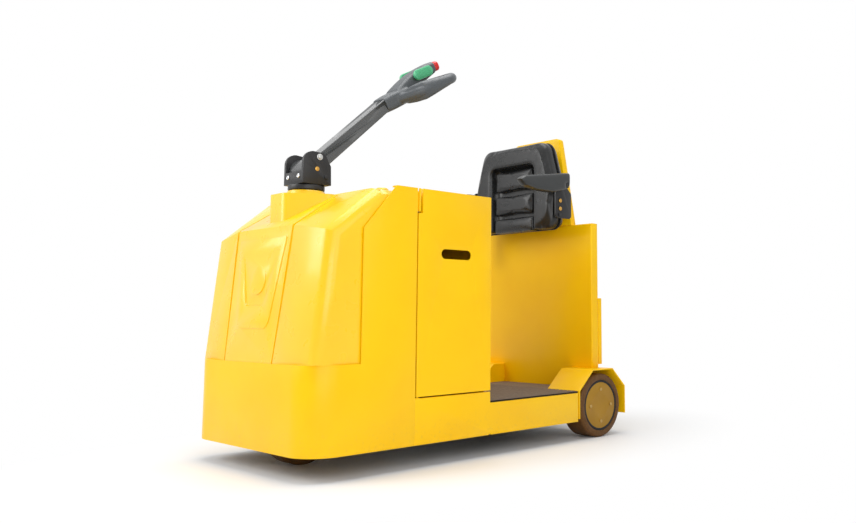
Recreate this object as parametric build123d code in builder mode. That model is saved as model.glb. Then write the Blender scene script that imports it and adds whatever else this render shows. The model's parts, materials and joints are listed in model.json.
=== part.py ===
from build123d import *
import os
from math import cos, radians, sin

os.makedirs("parts", exist_ok=True)

# Stand-on electric tow tractor, steered by a tiller. Millimetres.
# +X forward, +Y to the left, +Z up. The origin is on the floor, under the middle of the overall box.

# Overall box
length = 1480
width = 740
half = width / 2
front_x = length / 2
rear_x = -length / 2

# Heights
skirt_bottom = 73
skirt_top = 340
platform_top = 182
sill_top = 220
door_bottom = 225
body_top = 902
rear_panel_top = 864

# Stations along the machine
panel_front_x = 563
panel_rear_x = 355.5
door_front_x = 350.5
door_rear_x = 26
bulkhead_x = 32
sill_rear_x = -442
rear_panel_x = -600
steering_x = 545
wheel_x = -584

# Sheet and clearances
sheet = 5
seam = 5
corner_radius = 106
ledge_width = 24
panel_return = 20
panel_lap = 20

# Wheels
rear_wheel_radius = 125
rear_wheel_width = 100
wheel_outer_y = 367
drive_wheel_radius = 115
drive_wheel_width = 75
axle_radius = 20


def finish(piece, name):
    """Labels a finished piece and writes it."""
    piece.part.label = name
    export_step(piece.part, f"parts/{name}.step")


def finish_pair(piece, name):
    """Writes a left-hand piece, and its mirror image as the right-hand one."""
    finish(piece, f"{name}_left")
    with BuildPart() as other:
        mirror(piece.part, about=Plane.XZ)
    finish(other, f"{name}_right")


def upright(y):
    """Upright plane across the machine's length at y; local x is +X, local y is +Z, and it faces -Y."""
    return Plane.XZ.offset(-y)


def level(z):
    """Level plane at height z."""
    return Plane.XY.offset(z)


def across(x):
    """Upright plane square to the machine's length at x; local x is +Y, local y is +Z, and it faces +X."""
    return Plane.YZ.offset(x)


# Nose: the skirt and the two side panels are one bent sheet

panel_corner = (panel_front_x, 756)
panel_top_x = 440


def nose_plan(inset, back):
    """Plan of the nose, a box with rounded front corners, drawn inset from the outer face."""
    with BuildSketch(mode=Mode.PRIVATE) as plan:
        with Locations(((front_x - inset + back) / 2, 0)):
            Rectangle(front_x - inset - back, width - 2 * inset)
        fillet(plan.vertices().group_by(Axis.X)[-1], corner_radius - inset)
    return plan.sketch


def panel_outline():
    """Outline of a side panel in its own plane, from the skirt up to the body's top."""
    with BuildSketch(mode=Mode.PRIVATE) as outline:
        Polygon(
            (panel_rear_x, skirt_top - panel_lap),
            (panel_front_x, skirt_top - panel_lap),
            panel_corner,
            (panel_top_x, body_top),
            (panel_rear_x, body_top),
            align=None,
        )
    return outline.sketch


with BuildPart() as front_shell:
    with BuildSketch(level(skirt_bottom)):
        add(nose_plan(0, panel_rear_x))
        add(nose_plan(sheet, panel_rear_x - 2 * sheet), mode=Mode.SUBTRACT)
    extrude(amount=skirt_top - skirt_bottom)
    with BuildSketch(level(skirt_top - sheet)):
        add(nose_plan(0, panel_front_x))
        add(nose_plan(ledge_width, panel_front_x - 2 * sheet), mode=Mode.SUBTRACT)
    extrude(amount=sheet)
    for side in (1, -1):
        with BuildSketch(upright(side * half)):
            add(panel_outline())
        extrude(amount=side * sheet)
        with BuildSketch(upright(side * half)):
            Polygon(
                (panel_top_x, body_top),
                (panel_rear_x, body_top),
                (panel_rear_x, skirt_top - panel_lap),
                (panel_rear_x + sheet, skirt_top - panel_lap),
                (panel_rear_x + sheet, body_top - sheet),
                (panel_top_x, body_top - sheet),
                align=None,
            )
        extrude(amount=side * (sheet + panel_return))
finish(front_shell, "front_shell")


# Moulded front cover: facets that meet at crests, two grooves, a shield with a recess, the tiller's plinth

cover_wall = 6
cover_half = 363
cover_rear_x = 363
cover_top = 890
groove_depth = 4
crest_radius = 45
plinth_front_x = 655
plinth_nose_half = 45
plinth_shoulder_x = 535
plinth_rear_x = 470
plinth_half = 126
plinth_depth = 160
plinth_top = 888
plinth_radius = 26
column_radius = 35
ring_radius = 68
ring_top = 905
cover_inside = Vector(500, 0, 450)

base_front = (738, 0, skirt_top)
brow = (691, 0, 770)
top_front = (516, 0, 884)
wing_base = (724, 290, skirt_top)
wing_brow = (680, 300, 752)
wing_top = (528, 340, 867)

# The groove's place at base, brow and top: distance from the middle, half of its width
groove_base = (152, 3)
groove_brow = (177, 7)
groove_top = (148, 5)


def face_plane(a, b, c):
    """Plane through three points, turned so that it faces out of the cover."""
    a, b, c = Vector(*a), Vector(*b), Vector(*c)
    normal = (b - a).cross(c - a)
    if normal.dot(cover_inside - a) > 0:
        normal = normal * -1
    return Plane(origin=a, x_dir=b - a, z_dir=normal)


def at_groove(point, side, groove):
    """The point of the centre panel's profile moved sideways to a groove."""
    return (point[0], side * groove[0], point[2])


def cover_planes():
    """The facets of the cover, from front to top, with the wings at each side."""
    planes = [
        face_plane(base_front, brow, (base_front[0], 100, base_front[2])),
        face_plane(brow, top_front, (brow[0], 100, brow[2])),
    ]
    for side in (1, -1):
        low, middle, high = [(x, side * y, z) for x, y, z in (wing_base, wing_brow, wing_top)]
        crease = at_groove(brow, side, groove_brow)
        planes.append(face_plane(at_groove(base_front, side, groove_base), crease, low))
        planes.append(face_plane(crease, middle, high))
    return planes


def cover_form(inset, crest):
    """The cover as a solid block, drawn inset from its surface, with rounded crests."""
    with BuildPart(mode=Mode.PRIVATE) as form:
        with BuildSketch(level(skirt_top - 2 * inset)):
            with Locations(((front_x + cover_rear_x - 2 * inset) / 2, 0)):
                Rectangle(front_x - cover_rear_x + 2 * inset, 2 * (cover_half - inset))
        extrude(amount=cover_top + inset - skirt_top)
        for plane in cover_planes():
            split(bisect_by=plane.offset(-inset), keep=Keep.BOTTOM)
        side_faces = form.faces().filter_by(Axis.Y).sort_by(Axis.Y)
        crests = ShapeList()
        for face in (side_faces[0], side_faces[-1]):
            for edge in face.edges():
                middle = edge.position_at(0.5)
                if middle.X > cover_rear_x + 60 and middle.Z > skirt_top + 20:
                    crests.append(edge)
        fillet(crests, crest)
    return form.part


def plinth_plan(inset):
    """Plan of the plinth under the tiller: a short front, two slanting faces and straight sides."""
    with BuildSketch(mode=Mode.PRIVATE) as plan:
        Polygon(
            (plinth_rear_x, -plinth_half),
            (plinth_shoulder_x, -plinth_half),
            (plinth_front_x, -plinth_nose_half),
            (plinth_front_x, plinth_nose_half),
            (plinth_shoulder_x, plinth_half),
            (plinth_rear_x, plinth_half),
            align=None,
        )
        fillet(plan.vertices().filter_by(lambda corner: corner.X > plinth_rear_x + 1), plinth_radius)
        if inset > 0:
            offset(amount=-inset, mode=Mode.REPLACE)
    return plan.sketch


outer_form = cover_form(0, crest_radius)
inner_form = cover_form(cover_wall, crest_radius - cover_wall)
groove_form = cover_form(groove_depth, crest_radius - groove_depth)

lean = (Vector(*brow) - Vector(*base_front)).normalized()


def on_front(offset_out, rise=0):
    """Plane on the cover's front facet: local x is +Y, local y runs up the facet, origin at the base line."""
    normal = Vector(0, 1, 0).cross(lean)
    tilted = lean * cos(radians(rise)) + normal * sin(radians(rise))
    origin = Vector(*base_front) + normal * offset_out
    return Plane(origin=origin, x_dir=(0, 1, 0), z_dir=Vector(0, 1, 0).cross(tilted))


def slanted(low, high):
    """The corners of an upright shape with slanting sides, given as (height, half width) low and high."""
    return ((-low[1], low[0]), (low[1], low[0]), (high[1], high[0]), (-high[1], high[0]))


# The shield and its recess, up the front facet from the base line: height, half width
shield_low = (106, 98)
shield_high = (396, 148)
shield_rise = 3
shield_radius = 36
recess_low = (180, 58)
recess_high = (350, 108)
recess_depth = 4
recess_fade = 2.4
recess_radius = 24
boss_height = 262
boss_radius = 47
boss_rise = 1.5

with BuildPart() as groove_cut:
    add(outer_form)
    add(groove_form, mode=Mode.SUBTRACT)
    with BuildPart(mode=Mode.PRIVATE) as groove_slabs:
        for side in (1, -1):
            places = (groove_base, groove_brow, groove_top)
            low, middle, high = [(side * (y - w), side * (y + w)) for y, w in places]
            with BuildSketch(across(brow[0])):
                Polygon((low[0], skirt_top), (low[1], skirt_top), (middle[1], brow[2]), (middle[0], brow[2]),
                        align=None)
            extrude(amount=front_x - brow[0])
            with BuildSketch(level(brow[2] - 30)):
                Polygon((brow[0], middle[0]), (brow[0], middle[1]), (top_front[0], high[1]),
                        (top_front[0], high[0]), align=None)
            extrude(amount=cover_top - brow[2] + 30)
    add(groove_slabs.part, mode=Mode.INTERSECT)

with BuildPart() as front_cover:
    add(outer_form)
    with BuildSketch(level(plinth_top - plinth_depth)):
        add(plinth_plan(0))
    extrude(amount=plinth_depth)
    add(inner_form, mode=Mode.SUBTRACT)
    with BuildSketch(level(plinth_top - plinth_depth - 40)):
        add(plinth_plan(cover_wall))
    extrude(amount=plinth_depth + 40 - cover_wall, mode=Mode.SUBTRACT)
    add(groove_cut.part, mode=Mode.SUBTRACT)
    with BuildSketch(on_front(0)) as shield:
        Polygon(*slanted(shield_low, shield_high), align=None)
        fillet(shield.vertices().group_by(Axis.Y)[0], shield_radius)
    extrude(amount=shield_rise)
    recess_start = -recess_depth - recess_low[0] * sin(radians(recess_fade))
    with BuildSketch(on_front(recess_start, recess_fade)) as recess:
        Polygon(*slanted(recess_low, recess_high), align=None)
        fillet(recess.vertices().group_by(Axis.Y)[0], recess_radius)
    extrude(amount=4 * recess_depth, taper=-20, mode=Mode.SUBTRACT)
    with BuildSketch(on_front(-recess_depth)):
        with Locations((0, boss_height)):
            Circle(boss_radius)
    extrude(amount=recess_depth + boss_rise)
    with BuildSketch(level(plinth_top)):
        with Locations((steering_x, 0)):
            Circle(ring_radius)
    extrude(amount=ring_top - plinth_top, taper=20)
    with Locations((steering_x, 0, cover_top)):
        Cylinder(column_radius + 7, 120, mode=Mode.SUBTRACT)
finish(front_cover, "front_cover")

cap_place = (384, 210)
cap_radius = 22

with BuildPart() as cover_cap:
    with BuildSketch(level(cover_top)):
        with Locations(cap_place):
            Circle(cap_radius - 4)
    extrude(amount=12)
    with BuildSketch(level(cover_top + 12)):
        with Locations(cap_place):
            Circle(cap_radius)
    extrude(amount=12)
    chamfer(cover_cap.edges().group_by(Axis.Z)[-1], 4)
finish(cover_cap, "cover_cap")


# Body between nose and platform: deck, bulkhead, dash, doors

deck_half = 340
deck_thickness = 4
dash_half = 95
dash_rear_x = 36
dash_front_x = 120

with BuildPart() as top_deck:
    with BuildSketch(level(cover_top - deck_thickness)):
        with Locations(((panel_rear_x + bulkhead_x) / 2, 0)):
            Rectangle(panel_rear_x - bulkhead_x, 2 * deck_half)
        with Locations(((dash_front_x + bulkhead_x) / 2, 0)):
            Rectangle(dash_front_x - bulkhead_x, 2 * dash_half, mode=Mode.SUBTRACT)
    extrude(amount=deck_thickness)
finish(top_deck, "top_deck")

with BuildPart() as rear_bulkhead:
    with BuildSketch(across(bulkhead_x - 4)):
        with Locations((0, (platform_top - 10 + cover_top - deck_thickness) / 2)):
            Rectangle(2 * deck_half, cover_top - deck_thickness - platform_top + 10)
    extrude(amount=4)
finish(rear_bulkhead, "rear_bulkhead")

dash_profile = (
    (dash_front_x, cover_top - deck_thickness),
    (dash_front_x, cover_top),
    (dash_front_x - 10, 908),
    (52, 926),
    (40, 920),
    (dash_rear_x, cover_top),
    (bulkhead_x, cover_top),
    (bulkhead_x, cover_top - deck_thickness),
)

with BuildPart() as dash_panel:
    with BuildSketch(upright(dash_half)):
        Polygon(*dash_profile, align=None)
    extrude(amount=2 * dash_half)
    chamfer(dash_panel.edges().filter_by(Axis.Y).group_by(Axis.Z)[-1], 3)
finish(dash_panel, "dash_panel")

hinge_axis = (344.5, 366)
hinge_radius = 4
hinge_bottom = 825
door_sheet = 3
door_depth = 22
slot_centre = (187, 690)
slot_length = 132
slot_height = 33
notch_width = 17
pivot_radius = 3


def door_outline():
    """Outline of a door in its own plane, with the notch for the upper hinge."""
    with BuildSketch(mode=Mode.PRIVATE) as outline:
        with Locations(((door_front_x + door_rear_x) / 2, (door_bottom + body_top) / 2)):
            Rectangle(door_front_x - door_rear_x, body_top - door_bottom)
        with Locations((door_front_x - notch_width / 2, (hinge_bottom - seam + body_top) / 2)):
            Rectangle(notch_width, body_top - hinge_bottom + seam, mode=Mode.SUBTRACT)
    return outline.sketch


with BuildPart() as service_door:
    with BuildSketch(upright(half)):
        add(door_outline())
    extrude(amount=door_sheet)
    with BuildSketch(upright(half)):
        add(door_outline())
        offset(door_outline(), amount=-door_sheet, mode=Mode.SUBTRACT)
    extrude(amount=door_depth)
    front_edges = service_door.edges().filter_by(Axis.Z).group_by(Axis.X)[-1]
    fillet(front_edges.sort_by(Axis.Y)[-1], 2)
    with BuildSketch(upright(half)):
        with Locations(slot_centre):
            SlotOverall(slot_length, slot_height)
    extrude(amount=door_sheet, mode=Mode.SUBTRACT)
    with BuildSketch(level(door_bottom)):
        with Locations((door_front_x - 8, half - 10)):
            Rectangle(16, 20)
        with Locations(hinge_axis):
            Circle(pivot_radius + 0.3, mode=Mode.SUBTRACT)
    extrude(amount=25)
    with BuildSketch(level(door_bottom)):
        with Locations(hinge_axis):
            Circle(pivot_radius + 0.3)
    extrude(amount=25, mode=Mode.SUBTRACT)
finish_pair(service_door, "service_door")

with BuildPart() as door_hinges:
    for side in (1, -1):
        with BuildSketch(level(hinge_bottom)):
            with Locations((hinge_axis[0], side * hinge_axis[1])):
                Circle(hinge_radius)
        extrude(amount=body_top - hinge_bottom)
        with BuildSketch(level(sill_top)):
            with Locations((hinge_axis[0], side * hinge_axis[1])):
                Circle(pivot_radius)
        extrude(amount=20)
        with BuildSketch(level(sill_top)):
            with Locations((hinge_axis[0], side * (hinge_axis[1] - 4))):
                Rectangle(14, 14)
        extrude(amount=2)
        with BuildSketch(level(hinge_bottom)):
            with Locations((panel_rear_x - 2, side * (hinge_axis[1] - 12))):
                Rectangle(4, 20)
        extrude(amount=body_top - hinge_bottom - 10)
        with BuildSketch(level(hinge_bottom)):
            with Locations((hinge_axis[0] + 4, side * (hinge_axis[1] - 4))):
                Rectangle(11, 4)
        extrude(amount=body_top - hinge_bottom - 10)
finish(door_hinges, "door_hinges")


# Sills, platform and mat

sill_flange = 28
mat_thickness = 7
fender_inner_y = 207
frame_half = half - sheet

with BuildPart() as side_sill:
    with BuildSketch(upright(half)):
        Polygon((panel_rear_x, skirt_bottom), (panel_rear_x, sill_top), (door_rear_x, sill_top),
                (door_rear_x, platform_top), (sill_rear_x, platform_top), (sill_rear_x, skirt_bottom),
                align=None)
    extrude(amount=sheet)
    with BuildSketch(level(platform_top - sheet)):
        with Locations(((door_rear_x + sill_rear_x) / 2, half - sill_flange / 2)):
            Rectangle(door_rear_x - sill_rear_x, sill_flange)
    extrude(amount=sheet)
    with BuildSketch(level(sill_top - sheet)):
        with Locations(((panel_rear_x + door_rear_x) / 2, half - sill_flange / 2)):
            Rectangle(panel_rear_x - door_rear_x, sill_flange)
    extrude(amount=sheet)
    with BuildSketch(level(skirt_bottom)):
        with Locations((sill_rear_x + sheet / 2, half - sill_flange / 2)):
            Rectangle(sheet, sill_flange)
    extrude(amount=platform_top - skirt_bottom)
    with BuildSketch(upright(half)):
        Polygon((door_rear_x - 5, skirt_bottom - 1), (door_rear_x + 5, skirt_bottom - 1),
                (door_rear_x, skirt_bottom + 8), align=None)
    extrude(amount=sheet, mode=Mode.SUBTRACT)
finish_pair(side_sill, "side_sill")

platform_thickness = 10
mat_edge = 6


def platform_plan(front, wide, narrow):
    """Plan of the platform: full width as far as the fenders, then narrow between them."""
    with BuildSketch(mode=Mode.PRIVATE) as plan:
        Polygon((front, wide), (sill_rear_x - 6, wide), (sill_rear_x - 6, narrow), (rear_panel_x, narrow),
                (rear_panel_x, -narrow), (sill_rear_x - 6, -narrow), (sill_rear_x - 6, -wide), (front, -wide),
                align=None)
    return plan.sketch


with BuildPart() as platform_floor:
    with BuildSketch(level(platform_top - platform_thickness)):
        add(platform_plan(bulkhead_x - 4, half - sill_flange, fender_inner_y - sheet))
    extrude(amount=platform_thickness)
finish(platform_floor, "platform_floor")

with BuildPart() as step_mat:
    with BuildSketch(level(platform_top)):
        add(platform_plan(door_rear_x - 2, half - mat_edge, fender_inner_y - sheet))
    extrude(amount=mat_thickness)
    chamfer(step_mat.faces().sort_by(Axis.Z)[-1].edges(), 2)
finish(step_mat, "step_mat")


# Chassis frame: side plates, drive bearing plate, battery tray, platform beam and rear plate

bearing_z = 262
bearing_thickness = 12
bearing_bore = 100
frame_bottom = 85
beam_half = 180
tow_plate_x = -656
tow_plate = 12
tow_plate_top = 280

with BuildPart() as chassis_frame:
    for side in (1, -1):
        with BuildSketch(upright(side * frame_half)):
            Polygon((panel_rear_x - 8, frame_bottom), (panel_rear_x - 8, sill_top - sheet),
                    (door_rear_x, sill_top - sheet), (door_rear_x, platform_top - platform_thickness),
                    (sill_rear_x + sheet, platform_top - platform_thickness),
                    (sill_rear_x + sheet, frame_bottom), align=None)
        extrude(amount=side * 8)
    with BuildSketch(level(bearing_z)):
        with Locations(((panel_rear_x - 8 + 700) / 2, 0)):
            Rectangle(700 - panel_rear_x + 8, 2 * 330)
        with Locations((steering_x, 0)):
            Circle(bearing_bore, mode=Mode.SUBTRACT)
    extrude(amount=bearing_thickness)
    with BuildSketch(across(panel_rear_x - 16)):
        with Locations((0, (frame_bottom + bearing_z + bearing_thickness) / 2)):
            Rectangle(2 * 330, bearing_z + bearing_thickness - frame_bottom)
        with Locations((0, (frame_bottom + sill_top - sheet) / 2)):
            Rectangle(2 * (frame_half - 8), sill_top - sheet - frame_bottom)
    extrude(amount=8)
    with BuildSketch(level(frame_bottom)):
        with Locations(((panel_rear_x - 16 + door_rear_x) / 2, 0)):
            Rectangle(panel_rear_x - 16 - door_rear_x, 2 * (frame_half - 8))
    extrude(amount=8)
    with BuildSketch(across(door_rear_x)):
        with Locations((0, (frame_bottom + platform_top - platform_thickness) / 2)):
            Rectangle(2 * (frame_half - 8), platform_top - platform_thickness - frame_bottom)
    extrude(amount=8)
    with BuildSketch(across(tow_plate_x)):
        with Locations((0, (platform_top - platform_thickness + frame_bottom) / 2)):
            Rectangle(2 * beam_half, platform_top - platform_thickness - frame_bottom)
            Rectangle(2 * (beam_half - 8), platform_top - platform_thickness - frame_bottom, mode=Mode.SUBTRACT)
    extrude(amount=door_rear_x - tow_plate_x)
    with BuildSketch(across(tow_plate_x)):
        with Locations((0, (frame_bottom + tow_plate_top) / 2)):
            Rectangle(2 * beam_half, tow_plate_top - frame_bottom)
    extrude(amount=-tow_plate)
    with Locations(Location((wheel_x, 0, rear_wheel_radius), (90, 0, 0))):
        Cylinder(axle_radius, 2 * half, mode=Mode.SUBTRACT)
finish(chassis_frame, "chassis_frame")

with BuildPart() as battery:
    with BuildSketch(level(frame_bottom + 8)):
        with Locations(((panel_rear_x + door_rear_x) / 2, 0)):
            Rectangle(280, 620)
    extrude(amount=480)
    fillet(battery.edges().filter_by(Axis.Z), 6)
finish(battery, "battery")


# Rear body, tower and backrest

fender_top = 268
panel_depth = 43
panel_foot = platform_top - platform_thickness
rear_half = 311
box_rear_x = -668
box_top = 553
box_bottom = 282

with BuildPart() as rear_panel:
    with BuildSketch(across(rear_panel_x)):
        with Locations((0, (panel_foot + rear_panel_top) / 2)):
            Rectangle(2 * rear_half, rear_panel_top - panel_foot)
        with Locations((rear_half, panel_foot), (-rear_half, panel_foot)):
            Rectangle(2 * (rear_half - fender_inner_y + sheet), 2 * (fender_top - panel_foot), mode=Mode.SUBTRACT)
    extrude(amount=-panel_depth)
    panel_edges = rear_panel.edges().filter_by(Axis.Z).group_by(Axis.Y)
    fillet(panel_edges[0] + panel_edges[-1] + rear_panel.edges().filter_by(Axis.Y).group_by(Axis.Z)[-1], 6)
finish(rear_panel, "rear_panel")

with BuildPart() as rear_box:
    with BuildSketch(across(rear_panel_x - panel_depth)):
        with Locations((0, (box_top + box_bottom) / 2)):
            Rectangle(2 * rear_half, box_top - box_bottom)
    extrude(amount=box_rear_x - rear_panel_x + panel_depth)
    box_edges = rear_box.faces().sort_by(Axis.X)[0].edges()
    upright_edges = box_edges.filter_by(Axis.Z).sort_by(Axis.Y)
    fillet([upright_edges[0], upright_edges[-1], box_edges.sort_by(Axis.Z)[-1]], 8)
finish(rear_box, "rear_box")

tower_top = 1249
tower_half_low = 201
tower_half_top = 129
tower_radius = 16
tower_return = 30

with BuildPart() as backrest_tower:
    with BuildSketch(across(rear_panel_x)) as tower_outline:
        Polygon((-tower_half_low, rear_panel_top), (tower_half_low, rear_panel_top), (tower_half_top, tower_top),
                (-tower_half_top, tower_top), align=None)
        fillet(tower_outline.vertices().group_by(Axis.Y)[-1], tower_radius)
    extrude(amount=-tower_return)
    with BuildSketch(across(rear_panel_x - sheet)):
        offset(tower_outline.sketch_local, amount=-sheet)
    extrude(amount=-tower_return, mode=Mode.SUBTRACT)
finish(backrest_tower, "backrest_tower")

cushion_front_x = -445
cushion_back_x = -500
shell_back_x = -530

# Half of the backrest's outline, from top to bottom: half width, height, corner radius
back_corners = ((190, 1214, 54), (243, 1033, 0), (243, 960, 0), (232, 832, 45))


def back_outline(grow):
    """Outline of the backrest seen from the front, narrower towards its top."""
    with BuildSketch(mode=Mode.PRIVATE) as outline:
        right = [(y, z) for y, z, radius in back_corners]
        left = [(-y, z) for y, z, radius in reversed(back_corners)]
        Polygon(*right, *left, align=None)
        for y, z, radius in back_corners:
            if radius > 0:
                fillet(outline.vertices().filter_by_position(Axis.Y, z - 1, z + 1), radius)
        if grow != 0:
            offset(amount=grow, mode=Mode.REPLACE)
    return outline.sketch


with BuildPart() as backrest_cushion:
    with BuildSketch(across(cushion_back_x)):
        add(back_outline(0))
    extrude(amount=cushion_front_x - cushion_back_x)
    chamfer(backrest_cushion.faces().sort_by(Axis.X)[-1].edges(), 10)
finish(backrest_cushion, "backrest_cushion")

with BuildPart() as backrest_shell:
    with BuildSketch(across(cushion_back_x)):
        add(back_outline(-3))
    extrude(amount=shell_back_x - cushion_back_x, taper=30)
finish(backrest_shell, "backrest_shell")

bracket_y = 246
bracket_thickness = 8
bracket_bar = 10
bracket_bar_z = (900, 980)
post_y = 80
post_width = 40
armrest_pivot = (-475, 1010)
armrest_pin_radius = 11
armrest_bore_clearance = 0.3
armrest_gap = 1
armrest_width = 44
armrest_edge = 5

with BuildPart() as backrest_mount:
    with BuildSketch(across(rear_panel_x)):
        with Locations((post_y, 1000), (-post_y, 1000)):
            Rectangle(post_width, 260)
    extrude(amount=shell_back_x - rear_panel_x)
    with BuildSketch(across(shell_back_x - bracket_bar)):
        with Locations((0, (bracket_bar_z[0] + bracket_bar_z[1]) / 2)):
            Rectangle(2 * bracket_y, bracket_bar_z[1] - bracket_bar_z[0])
    extrude(amount=bracket_bar)
    for side in (1, -1):
        with BuildSketch(upright(side * (bracket_y + bracket_thickness))) as bracket_outline:
            Polygon(
                (shell_back_x - bracket_bar, 880),
                (cushion_front_x, 880),
                (cushion_front_x, 990),
                (armrest_pivot[0] + 16, 1030),
                (armrest_pivot[0] - 16, 1030),
                (shell_back_x - bracket_bar, 985),
                align=None,
            )
            fillet(bracket_outline.vertices(), 14)
        extrude(amount=side * bracket_thickness)
        pin_length = bracket_thickness + armrest_gap + armrest_width - 8
        pin_plane = Plane(origin=(armrest_pivot[0], side * bracket_y, armrest_pivot[1]), z_dir=(0, side, 0))
        with BuildSketch(pin_plane):
            Circle(armrest_pin_radius)
        extrude(amount=pin_length)
finish(backrest_mount, "backrest_mount")

# Side view of an armrest, forward and up from its pivot
armrest_profile = (
    (271, -2),
    (247, 15),
    (204, 22),
    (-17, 56),
    (-17, -4),
    (-7, -14),
    (86, -38),
    (175, -37),
    (244, -26),
)
armrest_inner_y = bracket_y + bracket_thickness + armrest_gap


def make_armrest(name, face_y, nose):
    """Makes an armrest from the side face at y, with its nose pointing the way given."""
    with BuildPart() as armrest:
        side_view = Plane(origin=(armrest_pivot[0], face_y, armrest_pivot[1]), x_dir=nose, z_dir=(0, -1, 0))
        with BuildSketch(side_view):
            Polygon(*armrest_profile, align=None)
        extrude(amount=armrest_width)
        chamfer(armrest.faces().filter_by(Axis.Y).edges(), armrest_edge)
        with BuildSketch(side_view):
            Circle(armrest_pin_radius + armrest_bore_clearance)
        extrude(amount=armrest_width, mode=Mode.SUBTRACT)
    finish(armrest, name)


make_armrest("armrest_left", armrest_inner_y + armrest_width, (1, 0, 0))
make_armrest("armrest_right", -armrest_inner_y, (0, 0, -1))


# Rear fenders, axle and wheels

fender_points = ((-450, 82), (-450, 190), (-534, fender_top), (-660, fender_top), (rear_x, 193), (rear_x, 82))

with BuildPart() as fender:
    with BuildSketch(upright(half)) as arch:
        Polygon(*fender_points, align=None)
        offset(arch.sketch_local, amount=-sheet, mode=Mode.SUBTRACT)
        with Locations(((fender_points[0][0] + rear_x) / 2, 80)):
            Rectangle(rear_x * -1 - 450 - 2 * sheet, 20, mode=Mode.SUBTRACT)
    extrude(amount=half - fender_inner_y)
    with BuildSketch(upright(fender_inner_y)):
        Polygon(*fender_points, align=None)
        with Locations((wheel_x, rear_wheel_radius)):
            Circle(axle_radius + 8, mode=Mode.SUBTRACT)
    extrude(amount=sheet)
finish_pair(fender, "fender")

axle_half = 335
axle_flange_y = 240
axle_flange_width = 18
axle_flange_radius = 42

with BuildPart() as rear_axle:
    with Locations(Location((wheel_x, 0, rear_wheel_radius), (90, 0, 0))):
        Cylinder(axle_radius, 2 * axle_half)
    for side in (1, -1):
        flange = Plane(origin=(wheel_x, side * axle_flange_y, rear_wheel_radius), z_dir=(0, side, 0))
        with BuildSketch(flange):
            Circle(axle_flange_radius)
        extrude(amount=axle_flange_width)
finish(rear_axle, "rear_axle")

tyre_inner_radius = 99
tyre_shoulder = 7
disc_radius = 90
disc_recess = 6
bolt_circle = 62.5
hub_bore_clearance = 0.3
wheel_inner_y = wheel_outer_y - rear_wheel_width


def wheel_plane(y):
    """Upright plane through the rear wheel's axis line at y, facing out to the left."""
    return Plane(origin=(wheel_x, y, rear_wheel_radius), x_dir=(1, 0, 0), z_dir=(0, 1, 0))


with BuildPart() as rear_tyre:
    with BuildSketch(wheel_plane(wheel_inner_y)):
        Circle(rear_wheel_radius)
        Circle(tyre_inner_radius, mode=Mode.SUBTRACT)
    extrude(amount=rear_wheel_width)
    outer_edges = rear_tyre.edges().filter_by(GeomType.CIRCLE).sort_by(SortBy.RADIUS)[-2:]
    chamfer(outer_edges, tyre_shoulder)
finish_pair(rear_tyre, "rear_tyre")

with BuildPart() as rear_hub:
    with BuildSketch(wheel_plane(wheel_inner_y + 4)):
        Circle(tyre_inner_radius)
    extrude(amount=rear_wheel_width - 6)
    with BuildSketch(wheel_plane(wheel_outer_y - 2 - disc_recess)):
        Circle(tyre_inner_radius - 4)
        Circle(disc_radius, mode=Mode.SUBTRACT)
    extrude(amount=disc_recess + 2, mode=Mode.SUBTRACT)
    with BuildSketch(wheel_plane(wheel_inner_y + 4)):
        Circle(tyre_inner_radius - 8)
        Circle(46, mode=Mode.SUBTRACT)
    extrude(amount=60, mode=Mode.SUBTRACT)
    with BuildSketch(wheel_plane(wheel_inner_y)):
        Circle(axle_radius + hub_bore_clearance)
    extrude(amount=axle_half - wheel_inner_y + 3, mode=Mode.SUBTRACT)
    with BuildSketch(wheel_plane(wheel_outer_y - 2)):
        with PolarLocations(bolt_circle, 4, start_angle=90):
            RegularPolygon(7, 6)
    extrude(amount=4)
finish_pair(rear_hub, "rear_hub")


# Tow coupling with its drop pin

jaw_low = 186
jaw_high = 248
jaw_plate = 12
jaw_half = 45
jaw_front_x = tow_plate_x - tow_plate
pin_x = -705
pin_radius = 11

with BuildPart() as tow_coupling:
    for bottom in (jaw_low - jaw_plate, jaw_high):
        with BuildSketch(level(bottom)) as jaw_plan:
            with Locations(((jaw_front_x - 738) / 2, 0)):
                Rectangle(jaw_front_x + 738, 2 * jaw_half)
            fillet(jaw_plan.vertices().group_by(Axis.X)[0], 26)
            with Locations((pin_x, 0)):
                Circle(pin_radius + 0.6, mode=Mode.SUBTRACT)
        extrude(amount=jaw_plate)
    with BuildSketch(across(jaw_front_x - 6)):
        with Locations((0, (jaw_low + jaw_high) / 2)):
            Rectangle(2 * jaw_half, jaw_high - jaw_low + 2 * jaw_plate)
    extrude(amount=6)
finish(tow_coupling, "tow_coupling")

pin_head_z = jaw_high + jaw_plate + 0.4

with BuildPart() as tow_pin:
    with BuildSketch(level(jaw_low - jaw_plate - 8)):
        with Locations((pin_x, 0)):
            Circle(pin_radius)
    extrude(amount=pin_head_z - jaw_low + jaw_plate + 8)
    with BuildSketch(level(pin_head_z)):
        with Locations((pin_x, 0)):
            Circle(17)
    extrude(amount=8)
    with BuildSketch(across(pin_x - 4)):
        with Locations((0, pin_head_z + 26)):
            Circle(20)
            Circle(13, mode=Mode.SUBTRACT)
    extrude(amount=8)
finish(tow_pin, "tow_pin")


# Steering: column with collar, drive fork, motor block, wheel

collar_radius = 61
collar_bottom = ring_top + 1.5
base_bottom = 927
motor_radius = 88
motor_top = 560
fork_top = 257

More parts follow.
